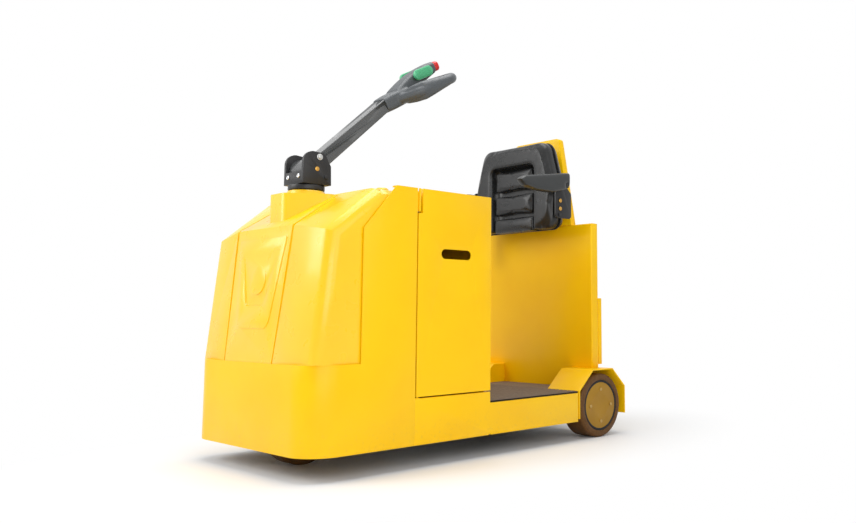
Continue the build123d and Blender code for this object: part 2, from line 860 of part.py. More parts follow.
with BuildPart() as steering_column:
    with BuildSketch(level(motor_top)):
        with Locations((steering_x, 0)):
            Circle(column_radius)
    extrude(amount=base_bottom - motor_top)
    with BuildSketch(level(collar_bottom)):
        with Locations((steering_x, 0)):
            Circle(collar_radius)
    extrude(amount=base_bottom - collar_bottom)
    chamfer(steering_column.edges().filter_by(GeomType.CIRCLE).sort_by(SortBy.RADIUS)[-2:], 3)
finish(steering_column, "steering_column")

cheek_outer_y = 61
cheek_thickness = 11
base_front_x = 595
base_rear_x = 487
pivot_x = 542
pivot_z = 979

with BuildPart() as tiller_base:
    with BuildSketch(level(base_bottom)):
        with Locations(((base_front_x + base_rear_x) / 2, 0)):
            Rectangle(base_front_x - base_rear_x, 2 * cheek_outer_y)
    extrude(amount=5)
    for side in (1, -1):
        with BuildSketch(upright(side * cheek_outer_y)):
            with BuildLine():
                Polyline((base_front_x, 1000), (base_front_x, base_bottom),
                         (base_rear_x, base_bottom), (base_rear_x + 2, 993))
                Line((base_rear_x + 2, 993), (514, 1034))
                Line((514, 1034), (556, 1038))
                TangentArc((556, 1038), (base_front_x, 1000), tangent=(1, 0))
            make_face()
        extrude(amount=side * cheek_thickness)
    with BuildSketch(across(base_front_x - 6)):
        with Locations((0, base_bottom + 21)):
            Rectangle(2 * (cheek_outer_y - cheek_thickness), 42)
    extrude(amount=6)
    with Locations(Location((pivot_x, 0, pivot_z), (90, 0, 0))):
        Cylinder(8, 3 * cheek_outer_y, mode=Mode.SUBTRACT)
finish(tiller_base, "tiller_base")

with BuildPart() as tiller_pivot:
    with Locations(Location((pivot_x, 0, pivot_z), (90, 0, 0))):
        Cylinder(8, 2 * cheek_outer_y + 2)
        Cylinder(11, 2 * (cheek_outer_y - cheek_thickness), mode=Mode.ADD)
finish(tiller_pivot, "tiller_pivot")

gearbox_inner_y = 44
gearbox_outer_y = 106

with BuildPart() as drive_fork:
    with BuildSketch(level(fork_top - 22)):
        with Locations((steering_x, 0)):
            Circle(94)
    extrude(amount=22)
    with BuildSketch(upright(-gearbox_inner_y)):
        with BuildLine():
            Polyline((steering_x - 48, drive_wheel_radius), (steering_x - 70, fork_top - 22),
                     (steering_x + 70, fork_top - 22), (steering_x + 48, drive_wheel_radius))
            ThreePointArc((steering_x + 48, drive_wheel_radius), (steering_x, drive_wheel_radius - 48),
                          (steering_x - 48, drive_wheel_radius))
        make_face()
    extrude(amount=gearbox_outer_y - gearbox_inner_y - 30)
    with Locations(Location((steering_x, -10, drive_wheel_radius), (90, 0, 0))):
        Cylinder(18, 2 * (gearbox_inner_y - 4))
finish(drive_fork, "drive_fork")

with BuildPart() as drive_motor:
    with BuildSketch(level(fork_top)):
        with Locations((steering_x, 0)):
            Circle(motor_radius)
    extrude(amount=motor_top - fork_top)
    chamfer(drive_motor.edges().group_by(Axis.Z)[-1], 8)
finish(drive_motor, "drive_motor")

drive_hub_radius = 82


def drive_plane(y):
    """Upright plane through the drive wheel's axis line at y, facing out to the left."""
    return Plane(origin=(steering_x, y, drive_wheel_radius), x_dir=(1, 0, 0), z_dir=(0, 1, 0))


with BuildPart() as drive_tyre:
    with BuildSketch(drive_plane(-drive_wheel_width / 2)):
        Circle(drive_wheel_radius)
        Circle(drive_hub_radius, mode=Mode.SUBTRACT)
    extrude(amount=drive_wheel_width)
    chamfer(drive_tyre.edges().filter_by(GeomType.CIRCLE).sort_by(SortBy.RADIUS)[-2:], tyre_shoulder)
finish(drive_tyre, "drive_tyre")

with BuildPart() as drive_hub:
    with BuildSketch(drive_plane(-drive_wheel_width / 2 + 3)):
        Circle(drive_hub_radius)
        Circle(18 + hub_bore_clearance, mode=Mode.SUBTRACT)
    extrude(amount=drive_wheel_width - 6)
finish(drive_hub, "drive_hub")


# Tiller: arm, head, thumb rocker and belly button

arm_angle = 43
head_angle = 29
arm_length = 412
barrel_radius = 42
barrel_half = 47
arm_section_low = (54, 54)
arm_section_top = (46, 70)
arm_end = (pivot_x - arm_length * cos(radians(arm_angle)), pivot_z + arm_length * sin(radians(arm_angle)))


def along_arm(distance):
    """Plane square to the arm at a distance from the pivot; local x is +Y."""
    direction = Vector(-cos(radians(arm_angle)), 0, sin(radians(arm_angle)))
    return Plane(origin=Vector(pivot_x, 0, pivot_z) + direction * distance, x_dir=(0, 1, 0), z_dir=direction)


with BuildPart() as tiller_arm:
    for distance, size in ((30, arm_section_low), (arm_length, arm_section_top)):
        with BuildSketch(along_arm(distance)):
            RectangleRounded(size[1], size[0], 5)
    loft()
    with Locations(Location((pivot_x, 0, pivot_z), (90, 0, 0))):
        Cylinder(barrel_radius, 2 * barrel_half)
        Cylinder(11.3, 3 * barrel_half, mode=Mode.SUBTRACT)
finish(tiller_arm, "tiller_arm")


def head_plane(distance, lift=0, angle=head_angle):
    """Plane square to the head's own axis at a distance from the arm's end; local x is +Y."""
    direction = Vector(-cos(radians(angle)), 0, sin(radians(angle)))
    up = Vector(sin(radians(angle)), 0, cos(radians(angle)))
    origin = Vector(arm_end[0], 0, arm_end[1]) + direction * distance + up * lift
    return Plane(origin=origin, x_dir=(0, 1, 0), z_dir=direction)


loop_half = 96
loop_tip = 322
loop_bar = 20
loop_start = 66
loop_shoulder = 128
loop_corner = 62


def loop_point(distance, side):
    """A point of the handle loop's centre line, in the loop's own plane."""
    direction = Vector(-cos(radians(head_angle)), 0, sin(radians(head_angle)))
    return Vector(arm_end[0], 0, arm_end[1]) + direction * distance + Vector(0, side, 0)


with BuildPart() as tiller_head:
    with BuildLine() as loop_path:
        FilletPolyline(
            loop_point(loop_start, 34), loop_point(loop_shoulder, loop_half), loop_point(loop_tip, loop_half),
            loop_point(loop_tip, -loop_half), loop_point(loop_shoulder, -loop_half), loop_point(loop_start, -34),
            radius=loop_corner - 14,
        )
    with BuildSketch(Plane(origin=loop_path.line @ 0, z_dir=loop_path.line % 0)):
        Circle(loop_bar)
    sweep()
    for distance, lift, wide, high in ((-6, 0, 78, 56), (60, 4, 92, 60), (118, 6, 112, 50)):
        with BuildSketch(head_plane(distance, lift)):
            RectangleRounded(wide, high, 18)
    loft()
    for distance, lift, wide, high in ((70, 10, 84, 56), (170, 40, 70, 62), (296, 62, 62, 44)):
        with BuildSketch(head_plane(distance, lift)):
            RectangleRounded(wide, high, 16)
    loft()
    add(tiller_arm.part, mode=Mode.SUBTRACT)
finish(tiller_head, "tiller_head")

with BuildPart() as thumb_rocker:
    for side in (1, -1):
        with BuildSketch(Plane(origin=head_plane(215, 58).origin + Vector(0, side * 35.5, 0),
                               x_dir=head_plane(0).z_dir, z_dir=(0, side, 0))):
            SlotOverall(96, 40)
        extrude(amount=14)
finish(thumb_rocker, "thumb_rocker")

with BuildPart() as belly_button:
    with BuildSketch(head_plane(296.5, 62)):
        RectangleRounded(56, 38, 14)
    extrude(amount=26)
    fillet(belly_button.faces().sort_by(Axis.X)[0].edges(), 8)
finish(belly_button, "belly_button")
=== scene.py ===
"""Looks of a stand-on electric tow tractor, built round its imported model.

Metres, in the row frame: +X forward, +Y to the left, +Z up, origin on the floor under the middle of the box.
"""
import json
import logging
import math
from dataclasses import dataclass
from enum import Enum
from typing import Callable

import bpy
from mathutils import Matrix, Vector

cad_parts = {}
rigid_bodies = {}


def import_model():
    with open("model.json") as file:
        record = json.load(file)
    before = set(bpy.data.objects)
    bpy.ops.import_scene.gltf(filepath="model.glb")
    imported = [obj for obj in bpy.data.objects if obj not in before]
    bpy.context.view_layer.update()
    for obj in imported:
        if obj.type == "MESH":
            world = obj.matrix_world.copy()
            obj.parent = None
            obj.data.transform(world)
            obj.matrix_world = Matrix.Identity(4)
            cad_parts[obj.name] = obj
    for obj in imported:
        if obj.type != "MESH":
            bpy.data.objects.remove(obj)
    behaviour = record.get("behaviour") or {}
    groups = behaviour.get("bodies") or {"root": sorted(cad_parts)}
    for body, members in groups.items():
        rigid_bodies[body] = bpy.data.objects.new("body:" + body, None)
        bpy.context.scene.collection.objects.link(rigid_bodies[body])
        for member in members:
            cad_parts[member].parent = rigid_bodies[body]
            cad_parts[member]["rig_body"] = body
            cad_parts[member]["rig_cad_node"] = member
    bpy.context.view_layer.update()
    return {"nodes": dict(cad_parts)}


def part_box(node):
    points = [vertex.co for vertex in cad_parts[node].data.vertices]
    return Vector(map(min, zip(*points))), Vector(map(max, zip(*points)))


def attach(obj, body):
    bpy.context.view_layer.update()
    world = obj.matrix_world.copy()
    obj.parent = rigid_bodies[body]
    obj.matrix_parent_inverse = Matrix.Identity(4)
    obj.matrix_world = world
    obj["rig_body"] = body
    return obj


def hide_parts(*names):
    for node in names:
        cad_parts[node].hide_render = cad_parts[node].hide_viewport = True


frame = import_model()
log = logging.getLogger("tow_tractor")

Colour = tuple[float, float, float, float]
Point = tuple[float, float, float]


def chip(red: int, green: int, blue: int) -> Colour:
    """Turns a colour chip into a linear colour.

    Args:
        red: its red as it looks on a screen, from 0 to 255.
        green: its green.
        blue: its blue.

    Returns:
        The linear colour, opaque.
    """
    channels = []
    for value in (red, green, blue):
        share = value / 255
        channels.append(share / 12.92 if share <= 0.04045 else ((share + 0.055) / 1.055) ** 2.4)
    return (channels[0], channels[1], channels[2], 1.0)


# Finishes


class Recipe:
    """A node material under construction, patterned on object coordinates."""

    def __init__(self, name: str) -> None:
        """Starts the material with one principled shader.

        Args:
            name: the material's name.
        """
        self.material = bpy.data.materials.new(name)
        self.material.use_nodes = True
        self.tree = self.material.node_tree
        self.tree.nodes.clear()
        output = self.tree.nodes.new("ShaderNodeOutputMaterial")
        self.shader = self.tree.nodes.new("ShaderNodeBsdfPrincipled")
        self.tree.links.new(self.shader.outputs["BSDF"], output.inputs["Surface"])
        self.place = self.tree.nodes.new("ShaderNodeTexCoord").outputs["Object"]

    def set(self, **values: float | Colour) -> None:
        """Sets constants on the shader's own sockets, with _ for a space in a socket's name."""
        for name, value in values.items():
            self.shader.inputs[name.replace("_", " ")].default_value = value

    def drive(self, name: str, socket: bpy.types.NodeSocket) -> None:
        """Links a socket to one of the shader's inputs."""
        self.tree.links.new(socket, self.shader.inputs[name])

    def add(self, kind: str, links: dict[int | str, bpy.types.NodeSocket] | None = None,
            values: dict[int | str, float | Colour | Point] | None = None, **settings: str | float | bool
            ) -> bpy.types.Node:
        """Adds a node.

        Args:
            kind: the node's type.
            links: its inputs and the sockets that feed them.
            values: its inputs and their constants.
            settings: its properties.

        Returns:
            The node.
        """
        node = self.tree.nodes.new(kind)
        for name, setting in settings.items():
            setattr(node, name, setting)
        for key, value in (values or {}).items():
            node.inputs[key].default_value = value
        for key, socket in (links or {}).items():
            self.tree.links.new(socket, node.inputs[key])
        return node

    def noise(self, scale: float, detail: float = 2.0, roughness: float = 0.5,
              place: bpy.types.NodeSocket | None = None) -> bpy.types.NodeSocket:
        """Returns a noise value of the given scale, in waves to the metre."""
        return self.add("ShaderNodeTexNoise", {"Vector": place or self.place},
                        {"Scale": scale, "Detail": detail, "Roughness": roughness}).outputs["Fac"]

    def cells(self, scale: float, feature: str = "F1") -> bpy.types.NodeSocket:
        """Returns the distance to the nearest cell point or cell border."""
        return self.add("ShaderNodeTexVoronoi", {"Vector": self.place}, {"Scale": scale}, feature=feature
                        ).outputs["Distance"]

    def stretched(self, scale: Point) -> bpy.types.NodeSocket:
        """Returns the object coordinates stretched along the axes."""
        return self.add("ShaderNodeMapping", {"Vector": self.place}, {"Scale": scale}).outputs["Vector"]

    def span(self, value: bpy.types.NodeSocket, low: float, high: float, bottom: float, top: float
             ) -> bpy.types.NodeSocket:
        """Spreads a value over another range, smoothly and clamped.

        Args:
            value: the value.
            low: where its range starts.
            high: where its range ends.
            bottom: the result at low.
            top: the result at high.

        Returns:
            The result.
        """
        node = self.add("ShaderNodeMapRange", {"Value": value},
                        {"From Min": low, "From Max": high, "To Min": bottom, "To Max": top},
                        interpolation_type="SMOOTHSTEP")
        return node.outputs["Result"]

    def combine(self, operation: str, first: bpy.types.NodeSocket, second: bpy.types.NodeSocket
                ) -> bpy.types.NodeSocket:
        """Returns the result of a math operation on two values."""
        return self.add("ShaderNodeMath", {0: first, 1: second}, operation=operation).outputs[0]

    def blend(self, share: bpy.types.NodeSocket, first: Colour, second: Colour) -> bpy.types.NodeSocket:
        """Returns a colour between two, by share."""
        return self.add("ShaderNodeMix", {0: share}, {6: first, 7: second}, data_type="RGBA").outputs[2]

    def height(self) -> bpy.types.NodeSocket:
        """Returns the height above the floor."""
        return self.add("ShaderNodeSeparateXYZ", {0: self.place}).outputs["Z"]

    def bump(self, height: bpy.types.NodeSocket, depth: float, strength: float,
             under: bpy.types.NodeSocket | None = None) -> bpy.types.NodeSocket:
        """Raises a bump over the surface.

        Args:
            height: its height, from 0 to 1.
            depth: how many metres a height of 1 is.
            strength: how much of it shows.
            under: an earlier bump's normal, which it lies on.

        Returns:
            The bump's normal.
        """
        links = {"Height": height}
        if under is not None:
            links["Normal"] = under
        return self.add("ShaderNodeBump", links, {"Distance": depth, "Strength": strength}).outputs["Normal"]


@dataclass(frozen=True)
class PowderCoat:
    """A sprayed and baked coat: slight orange peel, faint cloudiness, dust near the floor."""

    name: str
    colour: Colour
    shade: Colour
    roughness: float = 0.34
    peel: float = 0.00006
    gloss: float = 0.25
    shine: float = 0.5
    dust: Colour = chip(150, 128, 96)

    def material(self) -> bpy.types.Material:
        """Returns the finish as a material."""
        coat = Recipe(self.name)
        cloud = coat.span(coat.noise(5.0, 3.0), low=0.35, high=0.7, bottom=0.0, top=1.0)
        body = coat.blend(cloud, self.colour, self.shade)
        speckle = coat.span(coat.noise(90.0, 4.0), low=0.52, high=0.75, bottom=0.0, top=0.35)
        near_floor = coat.span(coat.height(), low=0.06, high=0.2, bottom=0.35, top=0.0)
        dirt = coat.combine("MULTIPLY", speckle, near_floor)
        dusty = coat.add("ShaderNodeMix", {0: dirt, 6: body}, {7: self.dust}, data_type="RGBA").outputs[2]
        coat.drive("Base Color", dusty)
        coat.drive("Roughness", coat.span(coat.noise(14.0, 3.0), low=0.3, high=0.7,
                                          bottom=self.roughness - 0.04, top=self.roughness + 0.05))
        coat.set(Coat_Weight=self.gloss, Coat_Roughness=0.12, IOR=1.5, Specular_IOR_Level=self.shine)
        coat.drive("Normal", coat.bump(coat.noise(260.0, 2.0), self.peel, 0.15))
        return coat.material


@dataclass(frozen=True)
class Moulding:
    """A moulded plastic with a fine spark-eroded grain."""

    name: str
    colour: Colour
    shade: Colour
    roughness: float = 0.5
    grain: float = 900.0
    depth: float = 0.00006

    def material(self) -> bpy.types.Material:
        """Returns the finish as a material."""
        skin = Recipe(self.name)
        skin.drive("Base Color", skin.blend(skin.noise(12.0, 3.0), self.colour, self.shade))
        skin.drive("Roughness", skin.span(skin.noise(40.0, 2.0), low=0.3, high=0.7,
                                          bottom=self.roughness - 0.05, top=self.roughness + 0.06))
        skin.set(IOR=1.49)
        skin.drive("Normal", skin.bump(skin.cells(self.grain), self.depth, 0.2))
        return skin.material


@dataclass(frozen=True)
class Vinyl:
    """Upholstery vinyl: a pebbled leather grain with finer wrinkles and a soft sheen."""

    name: str
    colour: Colour
    shade: Colour
    grain: float = 700.0

    def material(self) -> bpy.types.Material:
        """Returns the finish as a material."""
        hide = Recipe(self.name)
        cloud = hide.span(hide.noise(9.0, 4.0), low=0.35, high=0.7, bottom=0.0, top=1.0)
        hide.drive("Base Color", hide.blend(cloud, self.colour, self.shade))
        pebbles = hide.bump(hide.cells(self.grain, "DISTANCE_TO_EDGE"), 0.0003, 0.16)
        wrinkles = hide.bump(hide.noise(60.0, 5.0, 0.6), 0.0006, 0.12, pebbles)
        hide.drive("Normal", wrinkles)
        hide.drive("Roughness", hide.span(hide.noise(30.0, 3.0), low=0.3, high=0.7, bottom=0.26, top=0.36))
        hide.set(Sheen_Weight=0.05, Sheen_Roughness=0.4, IOR=1.5, Specular_IOR_Level=0.42)
        return hide.material


@dataclass(frozen=True)
class Rubber:
    """Rubber or cast polyurethane, in another colour below edge_top if that is given."""

    name: str
    colour: Colour
    shade: Colour
    roughness: float = 0.62
    speckle: float = 160.0
    edge_top: float = 0.0
    edge_fade: float = 0.0008
    edge_colour: Colour = chip(26, 25, 24)

    def material(self) -> bpy.types.Material:
        """Returns the finish as a material."""
        tread = Recipe(self.name)
        patches = tread.span(tread.noise(self.speckle, 5.0, 0.65), low=0.38, high=0.66, bottom=0.0, top=1.0)
        body = tread.blend(patches, self.colour, self.shade)
        if self.edge_top:
            raised = tread.span(tread.height(), low=self.edge_top - self.edge_fade, high=self.edge_top,
                                bottom=0.0, top=1.0)
            body = tread.add("ShaderNodeMix", {0: raised, 7: body}, {6: self.edge_colour}, data_type="RGBA"
                             ).outputs[2]
        tread.drive("Base Color", body)
        tread.drive("Roughness", tread.span(tread.noise(50.0, 3.0), low=0.3, high=0.7,
                                            bottom=self.roughness - 0.08, top=self.roughness + 0.1))
        tread.set(IOR=1.5, Specular_IOR_Level=0.25)
        tread.drive("Normal", tread.bump(tread.noise(self.speckle * 4, 3.0), 0.0003, 0.4))
        return tread.material


@dataclass(frozen=True)
class Plated:
    """Plain or plated metal, with fine brushed streaks."""

    name: str
    colour: Colour
    shade: Colour
    roughness: float = 0.3

    def material(self) -> bpy.types.Material:
        """Returns the finish as a material."""
        metal = Recipe(self.name)
        metal.drive("Base Color", metal.blend(metal.noise(70.0, 3.0), self.colour, self.shade))
        streaks = metal.noise(1.0, 3.0, 0.5, metal.stretched((900.0, 900.0, 60.0)))
        metal.drive("Roughness", metal.span(streaks, low=0.2, high=0.8, bottom=self.roughness - 0.06,
                                            top=self.roughness + 0.1))
        metal.set(Metallic=1.0)
        metal.drive("Normal", metal.bump(streaks, 0.00004, 0.3))
        return metal.material


class Finish(Enum):
    """The finishes of the machine."""

    YELLOW = PowderCoat("yellow_powder_coat", chip(251, 199, 0), chip(249, 194, 0), peel=0.00002, gloss=0.06,
                        shine=0.22)
    COVER = PowderCoat("yellow_moulded_cover", chip(252, 203, 8), chip(250, 198, 4), roughness=0.3,
                       peel=0.00002, gloss=0.3, shine=0.4)
    BLACK_STEEL = PowderCoat("satin_black_paint", chip(32, 32, 33), chip(28, 28, 29), roughness=0.38,
                             peel=0.00002, gloss=0.04, shine=0.35)
    PRIMER = PowderCoat("chassis_primer", chip(44, 43, 42), chip(36, 35, 34), roughness=0.6, gloss=0.0)
    BLACK_PLASTIC = Moulding("black_grained_moulding", chip(38, 38, 40), chip(33, 33, 34), roughness=0.48)
    GREEN_PLASTIC = Moulding("green_rocker_moulding", chip(88, 188, 136), chip(76, 176, 124), roughness=0.35)
    RED_PLASTIC = Moulding("red_button_moulding", chip(214, 26, 16), chip(202, 20, 12), roughness=0.32)
    VINYL = Vinyl("black_upholstery_vinyl", chip(26, 27, 28), chip(21, 22, 23))
    MAT = Rubber("ribbed_rubber_mat", chip(126, 111, 96), chip(110, 96, 83), roughness=0.85, edge_top=0.1885)
    BLACK_RUBBER = Rubber("black_rubber", chip(34, 33, 33), chip(27, 27, 27))
    TYRE = Rubber("brown_polyurethane", chip(100, 66, 26), chip(82, 53, 20), roughness=0.5)
    DISC = PowderCoat("ochre_disc_paint", chip(168, 128, 44), chip(156, 116, 36), roughness=0.5, gloss=0.0,
                      shine=0.2)
    STUD = Plated("stud_steel", chip(190, 160, 100), chip(170, 140, 84), roughness=0.35)
    ARM = PowderCoat("arm_grey_paint", chip(62, 64, 64), chip(56, 58, 58), roughness=0.26, peel=0.000012,
                     gloss=0.7)
    HEAD = Moulding("head_grey_moulding", chip(76, 80, 83), chip(70, 74, 77), roughness=0.4, depth=0.00002)
    ARMREST = Moulding("armrest_foam_skin", chip(40, 42, 42), chip(34, 36, 36), roughness=0.34, grain=1200.0,
                       depth=0.00002)
    BRASS = Plated("plain_brass", chip(205, 160, 84), chip(188, 142, 68))
    ZINC = Plated("zinc_plate", chip(198, 198, 194), chip(180, 180, 178))
    CHROME = Plated("bright_chrome", chip(226, 227, 228), chip(214, 215, 217), roughness=0.14)

    @property
    def material(self) -> bpy.types.Material:
        """The finish's material, made once."""
        return bpy.data.materials.get(self.value.name) or self.value.material()


# Workbench: mesh work as by hand, on one piece at a time


def only(piece: bpy.types.Object) -> None:
    """Selects one piece and nothing else."""
    bpy.ops.object.select_all(action="DESELECT")
    piece.select_set(True)
    bpy.context.view_layer.objects.active = piece


def settle(piece: bpy.types.Object) -> None:
    """Puts a piece's place into its mesh, so that its object sits at the origin."""
    only(piece)
    bpy.ops.object.transform_apply(location=True, rotation=True, scale=True)


def modify(piece: bpy.types.Object, kind: str, **settings: str | float | bool | bpy.types.Object) -> None:
    """Adds a modifier and applies it.

    Args:
        piece: the piece to change.
        kind: the modifier's type.
        settings: its properties.
    """
    only(piece)
    modifier = piece.modifiers.new(kind.lower(), kind)
    for name, setting in settings.items():
        setattr(modifier, name, setting)
    bpy.ops.object.modifier_apply(modifier=modifier.name)


def soften(piece: bpy.types.Object, edge: float, segments: int = 2, crease: float = 30.0) -> None:
    """Rounds a piece's sharp edges and shades it smooth between those left.

    Args:
        piece: the piece to soften.
        edge: the radius of its edges, 0 to leave them.
        segments: the faces across a rounded edge.
        crease: the angle in degrees from which an edge is sharp.
    """
    if edge > 0:
        modify(piece, "BEVEL", width=edge, segments=segments, limit_method="ANGLE",
               angle_limit=math.radians(crease), use_clamp_overlap=True)
    only(piece)
    bpy.ops.object.shade_smooth_by_angle(angle=math.radians(crease))


def dress(piece: bpy.types.Object, name: str, body: str, finish: Finish) -> bpy.types.Object:
    """Names a piece, gives it its finish and lets it ride.

    Args:
        piece: the finished mesh.
        name: the piece's name.
        body: the body that carries it.
        finish: its finish.

    Returns:
        The piece.
    """
    piece.name = name
    piece.data.name = name
    piece.data.materials.clear()
    piece.data.materials.append(finish.material)
    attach(piece, body)
    log.info("%s: %d faces, %s", name, len(piece.data.polygons), finish.value.name)
    return piece


def weld_copy(node: str) -> bpy.types.Object:
    """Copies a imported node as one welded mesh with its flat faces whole.

    Args:
        node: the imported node.

    Returns:
        The copy, which rides on nothing.
    """
    piece = frame["nodes"][node].copy()
    piece.data = piece.data.copy()
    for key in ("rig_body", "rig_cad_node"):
        del piece[key]
    bpy.context.scene.collection.objects.link(piece)
    piece.parent = None
    only(piece)
    bpy.ops.object.mode_set(mode="EDIT")
    bpy.ops.mesh.select_all(action="SELECT")
    bpy.ops.mesh.remove_doubles(threshold=2e-6)
    bpy.ops.mesh.dissolve_limited(angle_limit=math.radians(0.2))
    bpy.ops.object.mode_set(mode="OBJECT")
    return piece


def skin(node: str, finish: Finish, edge: float = 0.0008, crease: float = 30.0) -> bpy.types.Object:
    """Stands a welded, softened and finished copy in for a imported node.

    Args:
        node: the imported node.
        finish: its finish.
        edge: the radius of its edges, 0 to leave them.
        crease: the angle in degrees from which an edge is sharp.

    Returns:
        The piece.
    """
    body = frame["nodes"][node]["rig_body"]
    piece = weld_copy(node)
    soften(piece, edge, 2, crease)
    dress(piece, f"{node}_finished", body, finish)
    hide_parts(node)
    return piece


def place_in(piece: bpy.types.Object, place: Matrix) -> None:
    """Carries a piece modelled at the origin to its place, and settles it there."""
    piece.matrix_world = place
    settle(piece)


def stand(piece: bpy.types.Object, place: Point, axis: Point) -> None:
    """Stands a piece modelled along +Z at a place, along an axis."""
    turn = Vector(axis).to_track_quat("Z", "Y").to_matrix().to_4x4()
    place_in(piece, Matrix.Translation(place) @ turn)


def choose(piece: bpy.types.Object, test: Callable[[bpy.types.MeshPolygon], bool]) -> None:
    """Enters edit mode with only those faces selected that pass a test.

    Args:
        piece: the piece to edit.
        test: says whether a face is selected.
    """
    only(piece)
    bpy.ops.object.mode_set(mode="EDIT")
    bpy.ops.mesh.select_mode(type="FACE")
    bpy.ops.mesh.select_all(action="DESELECT")
    bpy.ops.object.mode_set(mode="OBJECT")
    for face in piece.data.polygons:
        face.select = test(face)
    bpy.ops.object.mode_set(mode="EDIT")


def face_outwards(piece: bpy.types.Object) -> None:
    """Points all the faces of a closed mesh outwards.

    Args:
        piece: the closed mesh.
    """
    only(piece)
    bpy.ops.object.mode_set(mode="EDIT")
    bpy.ops.mesh.select_all(action="SELECT")
    bpy.ops.mesh.normals_make_consistent(inside=False)
    bpy.ops.object.mode_set(mode="OBJECT")


def block(low: Point, high: Point) -> bpy.types.Object:
    """Adds a block, the start of a piece.

    Args:
        low: its lowest corner.
        high: its highest corner.

    Returns:
        The block.
    """
    bpy.ops.object.select_all(action="DESELECT")
    bpy.ops.mesh.primitive_cube_add(size=1.0, location=[(a + b) / 2 for a, b in zip(low, high)])
    piece = bpy.context.object
    piece.scale = [b - a for a, b in zip(low, high)]
    settle(piece)
    return piece


def oval_bar(sections: tuple[tuple[Point, float, float], ...], vertices: int = 28) -> bpy.types.Object:
    """Extrudes an oval along +Z from section to section.

    Args:
        sections: each section's centre and its half widths along X and Y.
        vertices: the corners of the oval.

    Returns:
        The closed bar.
    """
    centre, wide, high = sections[0]
    bpy.ops.object.select_all(action="DESELECT")
    bpy.ops.mesh.primitive_circle_add(vertices=vertices, radius=1.0, fill_type="NGON", location=centre)
    piece = bpy.context.object
    piece.scale = (wide, high, 1.0)
    settle(piece)
    choose(piece, lambda face: True)
    for (before, last_wide, last_high), (after, next_wide, next_high) in zip(sections, sections[1:]):
        step = Vector(after) - Vector(before)
        growth = (next_wide / last_wide, next_high / last_high, 1.0)
        bpy.ops.mesh.extrude_region_move(TRANSFORM_OT_translate={"value": step})
        bpy.ops.transform.resize(value=growth, center_override=after)
    bpy.ops.object.mode_set(mode="OBJECT")
    face_outwards(piece)
    return piece


def merge(piece: bpy.types.Object, others: list[bpy.types.Object]) -> None:
    """Joins other meshes into a piece.

    Args:
        piece: the piece, which stays.
        others: the meshes, which end as separate pieces.
    """
    only(piece)
    for other in others:
        other.select_set(True)
    bpy.ops.object.join()


def body_of(node: str) -> str:
    """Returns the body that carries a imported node."""
    return frame["nodes"][node]["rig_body"]


@dataclass(frozen=True)
class Fastener:
    """A bolt or screw head, with a rounded crown and perhaps a washer and a socket."""

    radius: float
    height: float
    sides: int = 6
    crown: float = 0.0007
    washer: float = 0.0
    socket: float = 0.0
    socket_depth: float = 0.55
    washer_height: float = 0.2
    washer_edge: float = 0.0003
    crease: float = 40.0

    def model(self) -> bpy.types.Object:
        """Returns the head along +Z with its seat at the origin."""
        bpy.ops.object.select_all(action="DESELECT")
        bpy.ops.mesh.primitive_cylinder_add(vertices=self.sides, radius=self.radius, depth=self.height,
                                            location=(0.0, 0.0, self.height / 2))
        head = bpy.context.object
        settle(head)
        soften(head, self.crown, 4, self.crease)
        if self.socket:
            choose(head, lambda face: face.normal.z > 0.99 and face.area > self.socket ** 2)
            bpy.ops.mesh.inset(thickness=self.radius - self.crown - self.socket)
            down = (0.0, 0.0, -self.socket_depth * self.height)
            bpy.ops.mesh.extrude_region_move(TRANSFORM_OT_translate={"value": down})
            bpy.ops.object.mode_set(mode="OBJECT")
        if self.washer:
            thickness = self.washer_height * self.height
            bpy.ops.object.select_all(action="DESELECT")
            bpy.ops.mesh.primitive_cylinder_add(vertices=32, radius=self.washer, depth=thickness,
                                                location=(0.0, 0.0, thickness / 2))
            washer = bpy.context.object
            settle(washer)
            soften(washer, self.washer_edge, 2, self.crease)
            merge(head, [washer])
        return head

    def fit(self, name: str, places: tuple[Point, ...], axis: Point, body: str, finish: Finish, slot: str
            ) -> None:
        """Fits a head at each place.

        Args:
            name: the name of the heads, which are numbered.
            places: the seats' centres.
            axis: the direction that the heads point in.
            body: the body that carries them.
            finish: their finish.
            slot: not used.
        """
        model = self.model()
        for number, place in enumerate(places, 1):
            head = model.copy()
            head.data = model.data.copy()
            bpy.context.scene.collection.objects.link(head)
            stand(head, place, axis)
            dress(head, f"{name}_{number}", body, finish)
        bpy.data.objects.remove(model)


